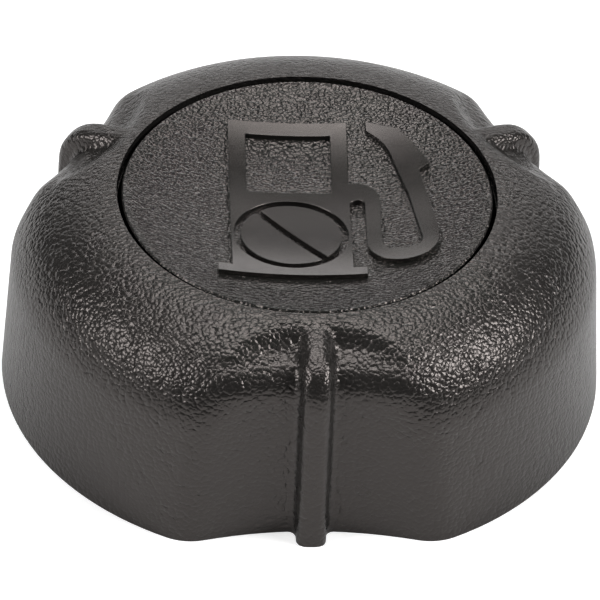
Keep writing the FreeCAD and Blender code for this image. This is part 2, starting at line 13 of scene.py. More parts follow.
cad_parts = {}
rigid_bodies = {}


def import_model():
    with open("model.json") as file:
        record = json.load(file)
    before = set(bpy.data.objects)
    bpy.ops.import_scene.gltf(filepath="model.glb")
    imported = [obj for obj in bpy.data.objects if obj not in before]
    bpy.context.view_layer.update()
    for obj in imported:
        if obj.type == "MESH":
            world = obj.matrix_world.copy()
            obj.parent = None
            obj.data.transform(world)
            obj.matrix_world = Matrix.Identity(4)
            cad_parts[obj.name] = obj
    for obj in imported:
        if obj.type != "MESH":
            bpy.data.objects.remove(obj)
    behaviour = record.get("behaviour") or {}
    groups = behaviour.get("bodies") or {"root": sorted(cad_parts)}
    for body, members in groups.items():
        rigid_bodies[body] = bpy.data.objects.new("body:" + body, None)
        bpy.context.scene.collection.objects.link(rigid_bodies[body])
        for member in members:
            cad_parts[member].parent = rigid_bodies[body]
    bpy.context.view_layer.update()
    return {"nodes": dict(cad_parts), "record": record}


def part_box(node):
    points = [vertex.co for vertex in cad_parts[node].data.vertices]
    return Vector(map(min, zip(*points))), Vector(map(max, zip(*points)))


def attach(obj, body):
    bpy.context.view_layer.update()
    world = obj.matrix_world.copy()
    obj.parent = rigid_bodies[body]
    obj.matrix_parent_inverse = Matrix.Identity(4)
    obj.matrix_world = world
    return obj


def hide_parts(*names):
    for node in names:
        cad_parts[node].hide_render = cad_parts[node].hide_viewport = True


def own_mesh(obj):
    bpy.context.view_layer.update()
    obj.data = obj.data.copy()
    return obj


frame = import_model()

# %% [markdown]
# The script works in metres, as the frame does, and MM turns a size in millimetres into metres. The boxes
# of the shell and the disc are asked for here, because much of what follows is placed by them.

MM = 0.001
shell_low, shell_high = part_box("cap_shell")
disc_low, disc_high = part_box("top_disc")
print("cap, in mm:", [round(side / MM, 2) for side in (shell_high - shell_low)])

# %% [markdown]
# The camera stands where the photographer stood: in front of the cap, well above it and far away, with a
# long lens. It is rolled a little, as the photo is. A camera can be turned with three angles, but it is
# easier to say where it looks and from how far, and to work out the turn from that.

# %% Camera
CAMERA_AZIMUTH = 4.11
CAMERA_ELEVATION = 39.02
CAMERA_ROLL = 2.63
CAMERA_DISTANCE = 0.8652
CAMERA_TARGET = Vector((-0.44, -2.87, 11.0)) * MM
LENS = 520.2
FILM_WIDTH = 36
NEAREST, FARTHEST = 0.05, 20


def direction(azimuth, elevation):
    """The way that a viewer at this azimuth and elevation looks."""
    around, above = math.radians(azimuth), math.radians(elevation)
    flat = math.cos(above)
    return Vector((math.sin(around) * flat, math.cos(around) * flat, -math.sin(above)))


def add_camera():
    look = direction(CAMERA_AZIMUTH, CAMERA_ELEVATION)
    data = bpy.data.cameras.new("camera")
    data.lens = LENS
    data.sensor_width = FILM_WIDTH
    data.clip_start = NEAREST
    data.clip_end = FARTHEST
    camera = bpy.data.objects.new("camera", data)
    bpy.context.scene.collection.objects.link(camera)
    camera.location = CAMERA_TARGET - look * CAMERA_DISTANCE
    camera.rotation_mode = "QUATERNION"
    roll = Quaternion((0, 0, 1), math.radians(CAMERA_ROLL))
    camera.rotation_quaternion = look.to_track_quat("-Z", "Y") @ roll
    bpy.context.scene.camera = camera
    print("camera", [round(x / MM) for x in camera.location], "mm from the cap's axis")


add_camera()

# %% [markdown]
# Materials are built from nodes. Wiring every Math node by hand hides the sum that it stands for, so one
# small class wraps a socket and lets sums be written as sums.

# %% Shader maths


def join(tree, value, slot):
    """Feeds a socket with a field, or sets it to a plain value."""
    if isinstance(value, Field):
        tree.links.new(value.socket, slot)
    else:
        slot.default_value = value


class Field:
    """A number, colour or vector that varies over a surface. Sums of number fields add Math nodes."""

    def __init__(self, tree, socket):
        self.tree = tree
        self.socket = socket

    def math(self, operation, *values):
        node = self.tree.nodes.new("ShaderNodeMath")
        node.operation = operation
        for value, slot in zip(values, node.inputs):
            join(self.tree, value, slot)
        return Field(self.tree, node.outputs[0])

    def __add__(self, other):
        return self.math("ADD", self, other)

    def __radd__(self, other):
        return self.math("ADD", other, self)

    def __sub__(self, other):
        return self.math("SUBTRACT", self, other)

    def __rsub__(self, other):
        return self.math("SUBTRACT", other, self)

    def __mul__(self, other):
        return self.math("MULTIPLY", self, other)

    def __rmul__(self, other):
        return self.math("MULTIPLY", other, self)

    def __truediv__(self, other):
        return self.math("DIVIDE", self, other)

    def __pow__(self, other):
        return self.math("POWER", self, other)

    def absolute(self):
        return self.math("ABSOLUTE", self)

    def greater_of(self, other):
        return self.math("MAXIMUM", self, other)

    def lesser_of(self, other):
        return self.math("MINIMUM", self, other)

    def clamped(self):
        return self.greater_of(0.0).lesser_of(1.0)


# %% [markdown]
# A second class holds the material. It adds any other kind of node from its type, its settings and what
# feeds its sockets, and it sets the surface's own sockets by name.

# %% A material and its nodes
# Painted shade: the black that stands for the shade deep in a narrow slot.
PAINTED_SHADE_BLACK = 0.001


def grey(value, warmth=0.0):
    """A neutral colour, or a slightly warm one."""
    return (value * (1 + warmth), value, value * (1 - warmth), 1)


class Finish:
    """A material with one Principled surface, and the nodes that feed it."""

    def __init__(self, name):
        self.material = bpy.data.materials.new(name)
        self.material.use_nodes = True
        self.tree = self.material.node_tree
        self.surface = self.tree.nodes["Principled BSDF"]

    def node(self, kind, settings=None, inputs=None, output=0):
        node = self.tree.nodes.new(kind)
        for name, value in (settings or {}).items():
            setattr(node, name, value)
        for name, value in (inputs or {}).items():
            join(self.tree, value, node.inputs[name])
        return Field(self.tree, node.outputs[output])

    def place(self):
        """Where a point of the surface is, in the part's own metres."""
        return self.node("ShaderNodeTexCoord", output="Object")

    def split(self, vector):
        """The three numbers of a vector."""
        apart = self.node("ShaderNodeSeparateXYZ", inputs={"Vector": vector})
        return [Field(self.tree, output) for output in apart.socket.node.outputs]

    def noise(self, scale, detail, output="Fac"):
        """Soft clouds, about one over the scale wide, in metres."""
        inputs = {"Vector": self.place(), "Scale": scale, "Detail": detail}
        return self.node("ShaderNodeTexNoise", inputs=inputs, output=output)

    def bump(self, height):
        """Slopes from a height in metres."""
        return self.node("ShaderNodeBump", inputs={"Height": height, "Strength": 1.0, "Distance": 1.0})

    def blend(self, share, start, end):
        """The start colour where the share is 0, and the end colour where it is 1."""
        mix = self.tree.nodes.new("ShaderNodeMix")
        mix.data_type = "RGBA"
        join(self.tree, share, mix.inputs["Factor"])
        colours = [slot for slot in mix.inputs if slot.type == "RGBA"]
        for slot, colour in zip(colours, (start, end)):
            join(self.tree, colour, slot)
        result = next(slot for slot in mix.outputs if slot.type == "RGBA")
        return Field(self.tree, result)

    def set(self, **values):
        for name, value in values.items():
            join(self.tree, value, self.surface.inputs[name.replace("_", " ")])

    def paint_shade(self, share):
        """Painted shade: black with no sheen where the share is 0, and the surface as it is where it is 1."""
        black = self.node("ShaderNodeBsdfDiffuse", inputs={"Color": grey(PAINTED_SHADE_BLACK)})
        mix = self.tree.nodes.new("ShaderNodeMixShader")
        join(self.tree, share, mix.inputs["Fac"])
        self.tree.links.new(black.socket, mix.inputs[1])
        self.tree.links.new(self.surface.outputs[0], mix.inputs[2])
        self.tree.links.new(mix.outputs[0], self.tree.nodes["Material Output"].inputs["Surface"])


# %% [markdown]
# The shell is black plastic with a leather grain that comes from its mould: small domes of uneven size,
# with fine creases between them. Voronoi cells whose places are stirred by noise look like that. A dome's
# height falls with the square of the distance from its cell's centre, so its slope grows towards the
# crease, and each dome catches one glint. The grain changes only the surface's slope, so it goes through a
# Bump node.

# %% Leather grain
STIR_DENSITY = 0.7
PATCH_DENSITY = 0.25
LOWEST_PATCH = 0.5


def leather_grain(finish, cell, depth):
    """Height of a pebbled grain, in metres, with cells about `cell` wide. Its creases are the deepest."""
    stir = finish.noise(STIR_DENSITY / cell, 1.0, output="Color")
    centred = finish.node("ShaderNodeVectorMath", {"operation": "SUBTRACT"}, {0: stir, 1: (0.5, 0.5, 0.5)})
    shift = finish.node("ShaderNodeVectorMath", {"operation": "SCALE"}, {0: centred, "Scale": cell})
    stirred = finish.node("ShaderNodeVectorMath", {"operation": "ADD"}, {0: finish.place(), 1: shift})
    reach = finish.node("ShaderNodeTexVoronoi", {"feature": "F1"}, {"Vector": stirred, "Scale": 1 / cell})
    patches = finish.noise(PATCH_DENSITY / cell, 1.0)
    return reach * reach * (LOWEST_PATCH + patches) * (-depth)


# %% [markdown]
# The photo shows the grain at its full depth on the crown, and a little shallower on the walls and on the
# three ribs. So the height is multiplied by a share that depends on place.

# %% Where the grain is shallower
GRAIN_LOW, GRAIN_HIGH = 11.5 * MM, 15.5 * MM
WALL_GRAIN, RIB_GRAIN = 0.8, 0.85
RIB_EDGE, RIB_FADE, RIB_FROM_R = 1.3 * MM, 0.8 * MM, 21.0 * MM
FLUTES = [math.radians(angle) for angle in (270, 30, 150)]


def grain_share(finish):
    """1 on the crown, and a little less on the walls and on the three ribs."""
    x, y, z = finish.split(finish.place())
    share = WALL_GRAIN + (1 - WALL_GRAIN) * ((z - GRAIN_LOW) / (GRAIN_HIGH - GRAIN_LOW)).clamped()
    for angle in FLUTES:
        across = (y * math.cos(angle) - x * math.sin(angle)).absolute()
        along = x * math.cos(angle) + y * math.sin(angle)
        beside = ((across - RIB_EDGE) / RIB_FADE).clamped()
        inboard = ((RIB_FROM_R - along) / MM).clamped()
        share = share * (RIB_GRAIN + (1 - RIB_GRAIN) * beside.greater_of(inboard))
    return share


# %% [markdown]
# Shell and disc are the same black plastic, with a coarser grain on the shell. The slot between them is
# deep and narrow, and next to no light comes out of it. Its shade is painted as black without any sheen.

# %% Grained plastic
PLASTIC_BLACK = 0.014
PLASTIC_IOR = 1.62
PLASTIC_TINT = (1.0, 0.9, 0.86, 1.0)
PLASTIC_WARMTH = 0.06
CLOUD_SCALE, CLOUD_SPREAD = 90.0, 0.1
SLOT_R, SLOT_HALF, SLOT_FADE = 18.65 * MM, 0.2 * MM, 0.04 * MM


def outside_slot(finish):
    """0 within the slot round the disc, where the shade is painted, and 1 elsewhere."""
    x, y, _ = finish.split(finish.place())
    from_slot = ((x * x + y * y) ** 0.5 - SLOT_R).absolute()
    return ((from_slot - SLOT_HALF) / SLOT_FADE).clamped()


def grained_plastic(name, cell, depth, roughness, everywhere=False):
    """Black plastic whose grain is at full depth everywhere, or only where the shell has it so."""
    finish = Finish(name)
    height = leather_grain(finish, cell, depth)
    if not everywhere:
        height = height * grain_share(finish)
    cloud = finish.noise(CLOUD_SCALE, 2.0)
    finish.set(Base_Color=grey(PLASTIC_BLACK, PLASTIC_WARMTH), Normal=finish.bump(height), IOR=PLASTIC_IOR,
               Specular_Tint=PLASTIC_TINT, Roughness=roughness - CLOUD_SPREAD / 2 + CLOUD_SPREAD * cloud)
    # Painted shade: flat black in the slot round the disc.
    finish.paint_shade(outside_slot(finish))
    return finish.material


shell_plastic = grained_plastic("shell_plastic", 0.45 * MM, 0.098 * MM, 0.27)
disc_plastic = grained_plastic("disc_plastic", 0.38 * MM, 0.108 * MM, 0.2, everywhere=True)
print("grained plastics:", shell_plastic.name, disc_plastic.name)

# %% [markdown]
# The raised sign was polished in the mould, so it is smoother than the grain round it: a soft sheen with
# only a slight unevenness. The pieces inside are plainer: smooth plastics, two rubbers, foam and drawn
# wire.

# %% Smooth plastic, rubber, foam and steel
RIPPLE_SCALE, SHEEN_SPREAD = 700.0, 0.08
BLOOM_SCALE, BLOOM_HEIGHT = 400.0, 0.02 * MM
RUBBER_ROUGHNESS, BLOOM_SPREAD = 0.7, 0.15
FOAM_CELL, FOAM_DEPTH = 0.6 * MM, 0.3 * MM
FOAM_ROUGHNESS, FOAM_WARMTH = 0.95, 0.1
STREAK_SCALE, STEEL_GREY = 2500.0, 0.55
STEEL_ROUGHNESS, STREAK_SPREAD = 0.22, 0.15


def smooth_plastic(name, base, roughness, ripple, tint=(1, 1, 1, 1)):
    finish = Finish(name)
    wave = finish.noise(RIPPLE_SCALE, 3.0)
    finish.set(Base_Color=grey(base, PLASTIC_WARMTH), Normal=finish.bump(wave * ripple), IOR=PLASTIC_IOR,
               Specular_Tint=tint, Roughness=roughness - SHEEN_SPREAD / 2 + SHEEN_SPREAD * wave)
    return finish.material


def rubber(name, base):
    finish = Finish(name)
    bloom = finish.noise(BLOOM_SCALE, 4.0)
    finish.set(Base_Color=grey(base), Normal=finish.bump(bloom * BLOOM_HEIGHT),
               Roughness=RUBBER_ROUGHNESS + BLOOM_SPREAD * bloom)
    return finish.material


def open_foam(name, base):
    finish = Finish(name)
    cells = finish.node("ShaderNodeTexVoronoi", inputs={"Vector": finish.place(), "Scale": 1 / FOAM_CELL})
    finish.set(Base_Color=grey(base, FOAM_WARMTH), Normal=finish.bump(cells * FOAM_DEPTH),
               Roughness=FOAM_ROUGHNESS)
    return finish.material


def drawn_steel(name):
    finish = Finish(name)
    streaks = finish.noise(STREAK_SCALE, 2.0)
    finish.set(Base_Color=grey(STEEL_GREY), Metallic=1.0, Roughness=STEEL_ROUGHNESS + STREAK_SPREAD * streaks)
    return finish.material


FINISHES = {
    "shell_plastic": shell_plastic,
    "disc_plastic": disc_plastic,
    "body_plastic": smooth_plastic("body_plastic", 0.03, 0.42, 0.004 * MM),
    "valve_plastic": smooth_plastic("valve_plastic", 0.5, 0.4, 0.002 * MM),
    "gasket_rubber": rubber("gasket_rubber", 0.02),
    "seal_rubber": rubber("seal_rubber", 0.03),
    "filter_foam": open_foam("filter_foam", 0.12),
    "spring_steel": drawn_steel("spring_steel"),
}
sign_plastic = smooth_plastic("sign_plastic", PLASTIC_BLACK, 0.24, 0.002 * MM, PLASTIC_TINT)
print("finishes:", ", ".join(FINISHES))

# %% [markdown]
# Each piece already names the finish that it takes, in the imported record. So a loop over the record gives
# every piece its material, and no piece can be missed.

# %% Give each piece its finish
node_slots = {part["node"]: part["material_slot"] for part in frame["record"]["subparts"]}


def dress(piece, material):
    """Gives a piece one material and no other."""
    piece.data.materials.clear()
    piece.data.materials.append(material)


for name, node in frame["nodes"].items():
    dress(node, FINISHES[node_slots[name]])
print("slots:", node_slots)

# %% [markdown]
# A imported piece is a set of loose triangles, and those look faceted on a rounded form. The shell and the
# disc are seen from close by, so each gets a skin: a copy whose loose corners are merged and whose gentle
# edges are shaded smooth. The skin stands for the original. The disc's is made here, and the shell's needs
# more steps.

# %% Smooth skins
SMOOTH_BELOW = math.radians(32)
MERGE_WITHIN = 0.0005 * MM


def only(piece):
    """Selects one piece and nothing else."""
    bpy.ops.object.select_all(action="DESELECT")
    piece.select_set(True)
    bpy.context.view_layer.objects.active = piece


def apply(piece, kind, **settings):
    """Adds one modifier to a piece and applies it."""
    only(piece)
    modifier = piece.modifiers.new(kind.lower(), kind)
    for name, value in settings.items():
        setattr(modifier, name, value)
    bpy.ops.object.modifier_apply(modifier=modifier.name)


def skin_of(node_name, skin_name):
    """A copy of a node with its loose corners merged."""
    only(frame["nodes"][node_name])
    bpy.ops.object.duplicate()
    skin = bpy.context.object
    skin.name = skin_name
    for key in [key for key in skin.keys() if key.startswith("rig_")]:
        del skin[key]
    skin.parent = None
    bpy.ops.object.mode_set(mode="EDIT")
    bpy.ops.mesh.select_all(action="SELECT")
    bpy.ops.mesh.remove_doubles(threshold=MERGE_WITHIN)
    bpy.ops.object.mode_set(mode="OBJECT")
    bpy.ops.mesh.customdata_custom_splitnormals_clear()
    return skin


def stand_for(skin, node_name, body="cap"):
    """Puts a finished skin in the place of its node."""
    only(skin)
    bpy.ops.object.shade_smooth_by_angle(angle=SMOOTH_BELOW)
    dress(skin, FINISHES[node_slots[node_name]])
    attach(skin, body)
    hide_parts(node_name)
    print(skin.name, len(skin.data.vertices), "corners,", len(skin.data.polygons), "faces")


disc_skin = skin_of("top_disc", "disc_skin")
stand_for(disc_skin, "top_disc")

# %% [markdown]
# A spring gets shorter when its joint moves, which a rigid solid can't do. So each spring gets a copy as
# well, with a mesh of its own, which stands for it on the joint's parent body.

# %% Skins for the springs


def springy_skin(joint, spring):
    skin = skin_of(spring["node"], spring["node"] + "_skin")
    stand_for(skin, spring["node"], joint["parent"])
    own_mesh(skin)


for joint in frame["record"]["behaviour"]["joints"]:
    for spring in joint["deforming_nodes"]:
        springy_skin(joint, spring)

# %% [markdown]
# The shell's scoops and ledges blend into the crown with no edge at all, as clay does. The solid has thin
# creases there. To rub them away, the shell's copy is taken apart into two closed forms: a blank with the
# outer surface, and a core with all the inner ones. Seams along the rim and the pocket's edge part the two.

# %% Part the shell into a blank and a core
POCKET_R = 18.93 * MM
POCKET_EDGE_DEPTH = 1.0 * MM
ON_EDGE = 0.02 * MM
OVERRUN = 1.0 * MM


def on_rim(place):
    return place.z < ON_EDGE


def on_pocket_edge(place):
    near_top = place.z > shell_high.z - POCKET_EDGE_DEPTH
    return near_top and abs(math.hypot(place.x, place.y) - POCKET_R) < ON_EDGE


def pick_corners(piece, wanted):
    """Goes to edit mode with only the wanted corners selected."""
    only(piece)
    bpy.ops.object.mode_set(mode="EDIT")
    bpy.ops.mesh.select_mode(type="VERT")
    bpy.ops.mesh.select_all(action="DESELECT")
    bpy.ops.object.mode_set(mode="OBJECT")
    for vertex in piece.data.vertices:
        vertex.select = wanted(vertex.co)
    bpy.ops.object.mode_set(mode="EDIT")


def seam_at(piece, wanted):
    pick_corners(piece, wanted)
    bpy.ops.mesh.mark_seam(clear=False)
    bpy.ops.object.mode_set(mode="OBJECT")


def keep_patch(piece, start):
    """Keeps the faces that lie within the same seams as the start face."""
    only(piece)
    bpy.ops.object.mode_set(mode="EDIT")
    bpy.ops.mesh.select_mode(type="FACE")
    bpy.ops.mesh.select_all(action="DESELECT")
    bpy.ops.object.mode_set(mode="OBJECT")
    piece.data.polygons[start].select = True
    bpy.ops.object.mode_set(mode="EDIT")
    bpy.ops.mesh.select_linked(delimit={"SEAM"})
    bpy.ops.mesh.select_all(action="INVERT")
    bpy.ops.mesh.delete(type="FACE")
    bpy.ops.object.mode_set(mode="OBJECT")


def close_off(piece, wanted, run):
    """Runs a loop of the piece's edges up or down, and closes it with a flat face."""
    pick_corners(piece, wanted)
    if run:
        bpy.ops.mesh.extrude_region_move(TRANSFORM_OT_translate={"value": (0, 0, run)})
    bpy.ops.mesh.edge_face_add()
    bpy.ops.mesh.select_all(action="SELECT")
    bpy.ops.mesh.normals_make_consistent(inside=False)
    bpy.ops.object.mode_set(mode="OBJECT")


shell_skin = skin_of("cap_shell", "shell_skin")
seam_at(shell_skin, on_rim)
seam_at(shell_skin, on_pocket_edge)
only(shell_skin)
bpy.ops.object.duplicate()
shell_core = bpy.context.object
shell_core.name = "shell_core"
faces = shell_skin.data.polygons
crown_faces = [face for face in faces if face.center.xy.length > POCKET_R + MM]
crown_face = max(crown_faces, key=lambda face: face.center.z).index
inner_face = min(faces, key=lambda face: face.center.xy.length).index
keep_patch(shell_skin, crown_face)
keep_patch(shell_core, inner_face)
close_off(shell_skin, on_rim, -OVERRUN)
close_off(shell_skin, on_pocket_edge, 0)
close_off(shell_core, on_rim, -OVERRUN)
close_off(shell_core, on_pocket_edge, OVERRUN)
print("blank:", len(shell_skin.data.polygons), "faces; core:", len(shell_core.data.polygons), "faces")

# %% [markdown]
# A voxel remesh turns the blank into an even net of small faces. A Smooth modifier then rubs the creases
# away, but only as far as a vertex group lets it: fully on the crown, lightly on the ribs, and not at all
# low on the walls or at the pocket's edge. Last, the overrun below the rim is cut off and the core is cut
# out, which gives crisp edges again.

# %% Soften the shell round its scoops
VOXEL = 0.3 * MM
SOFT_ROUNDS, SOFT_PULL = 14, 0.5
SOFT_FROM_Z = shell_high.z - 8.5 * MM
SOFT_FROM_R = POCKET_R + 0.1 * MM
SOFT_FADE = 1.5 * MM
SOFT_RISE = 3 * SOFT_FADE
RIB_HALF = 2.2 * MM
RIB_SOFTNESS = 0.12


def fade(value, start, width):
    """0 before start, 1 after start plus width, and smooth between."""
    share = min(max((value - start) / width, 0), 1)
    return share * share * (3 - 2 * share)


def softness(place):
    """How much a point of the shell is smoothed."""
    radius = math.hypot(place.x, place.y)
    share = fade(place.z, SOFT_FROM_Z, SOFT_RISE) * fade(radius, SOFT_FROM_R, SOFT_FADE)
    for angle in FLUTES:
        along = place.x * math.cos(angle) + place.y * math.sin(angle)
        across = abs(place.y * math.cos(angle) - place.x * math.sin(angle))
        if along > 0:
            share *= RIB_SOFTNESS + (1 - RIB_SOFTNESS) * fade(across, RIB_HALF, SOFT_FADE)
    return share


def cut(piece, tool, keep=False):
    """Cuts a tool out of a piece, or keeps only what lies within the tool."""
    apply(piece, "BOOLEAN", operation="INTERSECT" if keep else "DIFFERENCE", solver="EXACT", object=tool)
    bpy.data.objects.remove(tool)


apply(shell_skin, "REMESH", mode="VOXEL", voxel_size=VOXEL, use_smooth_shade=True)
soft = shell_skin.vertex_groups.new(name="soft")
for vertex in shell_skin.data.vertices:
    weight = softness(vertex.co)
    if weight > 0:
        soft.add([vertex.index], weight, "REPLACE")
apply(shell_skin, "SMOOTH", vertex_group="soft", factor=SOFT_PULL, iterations=SOFT_ROUNDS)
print("remeshed:", len(shell_skin.data.polygons), "faces")
only(shell_skin)
bpy.ops.object.mode_set(mode="EDIT")
bpy.ops.mesh.select_all(action="SELECT")
bpy.ops.mesh.bisect(plane_co=shell_low, plane_no=(0, 0, 1), use_fill=True, clear_inner=True)
bpy.ops.object.mode_set(mode="OBJECT")
cut(shell_skin, shell_core)
stand_for(shell_skin, "cap_shell")

# %% [markdown]
# The disc carries a raised sign: a petrol pump with its hose and nozzle, and a prohibition ring cut into
# the pump. Its outline is drawn the way one draws it by hand: from a single point, extruded along straight
# lines and spun along arcs, then filled. All of it is one outline, because the real relief is one form.

# %% A pen for flat outlines
ARC_STEP = math.radians(6)
WELD_WITHIN = 0.02 * MM


class Pen:
    """Draws a flat outline in the XY plane, in millimetres, from one vertex."""

    def __init__(self, x, y):
        bpy.ops.object.select_all(action="DESELECT")
        bpy.ops.mesh.primitive_plane_add(size=MM)
        bpy.ops.object.mode_set(mode="EDIT")
        bpy.ops.mesh.select_all(action="SELECT")
        bpy.ops.mesh.merge(type="CENTER")
        bpy.ops.transform.translate(value=(x * MM, y * MM, 0))
        self.x = x
        self.y = y

    def line(self, x, y):
        step = ((x - self.x) * MM, (y - self.y) * MM, 0)
        bpy.ops.mesh.extrude_region_move(TRANSFORM_OT_translate={"value": step})
        self.x, self.y = x, y
        return self

    def arc(self, centre_x, centre_y, degrees):
        """An arc about a centre, anticlockwise where degrees is positive."""
        angle = math.radians(degrees)
        steps = max(2, round(abs(angle) / ARC_STEP))
        centre = (centre_x * MM, centre_y * MM, 0)
        # With no window, the operator turns the other way.
        bpy.ops.mesh.spin(steps=steps, angle=-angle, center=centre, axis=(0, 0, 1))
        away = Vector((self.x - centre_x, self.y - centre_y, 0))
        away.rotate(Quaternion((0, 0, 1), angle))
        self.x, self.y = centre_x + away.x, centre_y + away.y
        return self

    def filled(self, name):
        """Closes the outline with one face."""
        bpy.ops.mesh.select_all(action="SELECT")
        bpy.ops.mesh.remove_doubles(threshold=WELD_WITHIN)
        bpy.ops.mesh.edge_face_add()
        bpy.ops.object.mode_set(mode="OBJECT")
        bpy.context.object.name = name
        return bpy.context.object


# %% [markdown]
# The pump, in millimetres on the disc seen from above: a square-cornered body with a window, a wider foot,
# and a hose that leaves the body, drops, turns through a U and climbs to a curved nozzle.

# %% Outline of the pump
FOOT_LEFT, FOOT_RIGHT = -9.1, 5.65
FOOT_BOTTOM, FOOT_TOP = -11.35, -9.85
BODY_LEFT, BODY_RIGHT, BODY_TOP = -7.65, 4.3, 12.6
GAP_TOP, GAP_MIDDLE, GAP_RIGHT = 0.9, 5.05, 5.8
TURN_BOTTOM, TURN_MIDDLE = -5.5, 9.35
BRANCH_BOTTOM, BRANCH_TOP = 1.6, 4.2
HOSE_INSIDE, NOZZLE_INSIDE = 7.3, 11.28
INNER_TURN, INNER_ROUND = -5.45, 1.4


def pump_outline():
    """Anticlockwise from the foot's left end."""
    pen = Pen(FOOT_LEFT, FOOT_BOTTOM)
    pen.line(FOOT_RIGHT, FOOT_BOTTOM).line(FOOT_RIGHT, FOOT_TOP).line(BODY_RIGHT, FOOT_TOP)
    # The gap beside the body, and the outside of the hose round its turn
    pen.line(BODY_RIGHT, GAP_TOP).arc(GAP_MIDDLE, GAP_TOP, -180)
    pen.line(GAP_RIGHT, TURN_BOTTOM).arc(TURN_MIDDLE, TURN_BOTTOM, 180)
    # The nozzle, up its outside with the hook, round its tip and down its inside
    pen.line(12.87, -3.7).line(11.37, 5.4).line(12.45, 6.12).line(10.71, 9.54)
    pen.arc(5.7, 6.9, 27).line(6.15, 12.6).line(6.21, 11.46)
    pen.arc(1.6, 5.8, -41).line(10.16, 1.93).line(11.27, -5.3).line(NOZZLE_INSIDE, INNER_TURN)
    # The inside of the turn, and back up the hose to the body
    turn_right, turn_left = NOZZLE_INSIDE - INNER_ROUND, HOSE_INSIDE + INNER_ROUND
    pen.arc(turn_right, INNER_TURN, -90).line(turn_left, INNER_TURN - INNER_ROUND)
    pen.arc(turn_left, INNER_TURN, -90)
    pen.line(HOSE_INSIDE, BRANCH_BOTTOM).arc(HOSE_INSIDE - BRANCH_TOP + BRANCH_BOTTOM, BRANCH_BOTTOM, 90)
    pen.line(BODY_RIGHT, BRANCH_TOP).line(BODY_RIGHT, BODY_TOP).line(BODY_LEFT, BODY_TOP)
    pen.line(BODY_LEFT, FOOT_TOP).line(FOOT_LEFT, FOOT_TOP)
    return pen.filled("pump_sign")


pump_sign = pump_outline()
print("pump outline:", len(pump_sign.data.vertices), "points, one face:", len(pump_sign.data.polygons) == 1)

# %% [markdown]
# Next the flat outline becomes a plate, and the window, the ring and the slash are cut out of it with
# Boolean modifiers. This is done while it is flat, because flat cuts are clean. The plate stands two
# millimetres tall here, from one below zero to one above, so that its top and bottom are easy to tell
# apart.

# %% Cut the window, the ring and the slash
WINDOW = (-5.9, 2.85, 2.6, 10.9)
RING_CENTRE = (-1.68, -4.15)
RING_OUTER = 5.72
RING_INNER = 5.02
SLASH_WIDTH = 0.75
SLASH_ANGLE = -50
SLASH_OVERLAP = 0.1
SIGN_SHIFT = (0.05, 0.08)
SIGN_TURN = -0.7
PLATE = 1.0 * MM
DRUM_SIDES = 96


def raise_plate(piece, half):
    """Makes a flat face into a plate that reaches as far below zero as above."""
    only(piece)
    bpy.ops.object.mode_set(mode="EDIT")
    bpy.ops.mesh.select_all(action="SELECT")
    bpy.ops.transform.translate(value=(0, 0, -half))
    bpy.ops.mesh.extrude_region_move(TRANSFORM_OT_translate={"value": (0, 0, 2 * half)})
    bpy.ops.mesh.select_all(action="SELECT")
    bpy.ops.mesh.normals_make_consistent(inside=False)
    bpy.ops.object.mode_set(mode="OBJECT")


def block(x, y, width, depth, turn=0.0):
    bpy.ops.object.select_all(action="DESELECT")
    turned = (0, 0, math.radians(turn))
    size = (width * MM, depth * MM, 4 * PLATE)
    bpy.ops.mesh.primitive_cube_add(size=1, location=(x * MM, y * MM, 0), rotation=turned, scale=size)
    bpy.ops.object.transform_apply(location=True, rotation=True, scale=True)
    return bpy.context.object


def drum(radius):
    bpy.ops.object.select_all(action="DESELECT")
    x, y = RING_CENTRE
    bpy.ops.mesh.primitive_cylinder_add(vertices=DRUM_SIDES, radius=radius * MM, depth=4 * PLATE,
                                        location=(x * MM, y * MM, 0))
    bpy.ops.object.transform_apply(location=True, rotation=True, scale=True)
    return bpy.context.object


raise_plate(pump_sign, PLATE)
left, bottom, right, top = WINDOW
cut(pump_sign, block((left + right) / 2, (bottom + top) / 2, right - left, top - bottom))

ring_tool = drum(RING_OUTER)
cut(ring_tool, drum(RING_INNER))
cut(pump_sign, ring_tool)
slash_tool = block(*RING_CENTRE, 2 * RING_OUTER, SLASH_WIDTH, SLASH_ANGLE)
cut(slash_tool, drum(RING_INNER + SLASH_OVERLAP), keep=True)
cut(pump_sign, slash_tool)
only(pump_sign)
pump_sign.location.xy = [step * MM for step in SIGN_SHIFT]
pump_sign.rotation_euler.z = math.radians(SIGN_TURN)
bpy.ops.object.transform_apply(location=True, rotation=True, scale=True)
print("after the cuts:", len(pump_sign.data.polygons), "faces")

# %% [markdown]
# A moulded edge is never quite sharp. A narrow Bevel on the sign's sharp edges catches the light as the
# real one does. It is added while the plate is flat and has few edges, because it comes out even there.

# %% Round the sign's edges
EDGE_ROUND = 0.07 * MM
EDGE_STEPS = 3
SHARP_ABOVE = math.radians(40)

apply(pump_sign, "BEVEL", width=EDGE_ROUND, segments=EDGE_STEPS, limit_method="ANGLE",
      angle_limit=SHARP_ABOVE)
print("rounded sign:", len(pump_sign.data.polygons), "faces")

# %% [markdown]
# The disc is dished, so the sign has to follow it. The plate is sliced every millimetre both ways, which
# gives its large faces something to bend with. Then each corner moves by the height of the dish under it:
# the top keeps its rounded edges and stands a constant step above the dish, and the bottom lies just inside
# the disc.

# %% Bend the sign onto the dish
SLICE = 1.0
SIGN_REACH = 14
SLICE_WELD = 0.002 * MM
BENT_BELOW = math.radians(12)
RELIEF = 0.56 * MM
SUNK = 0.15 * MM
DISC_EDGE_ROUND = 0.3 * MM
DISH_RADIUS = 61.0 * MM
dish_rim_r = (disc_high.x - disc_low.x) / 2 - DISC_EDGE_ROUND


def dish_height(x, y):
    """Height of the disc's top face, which is part of a ball."""
    rim = math.sqrt(DISH_RADIUS ** 2 - dish_rim_r ** 2)
    return disc_high.z + rim - math.sqrt(DISH_RADIUS ** 2 - x * x - y * y)


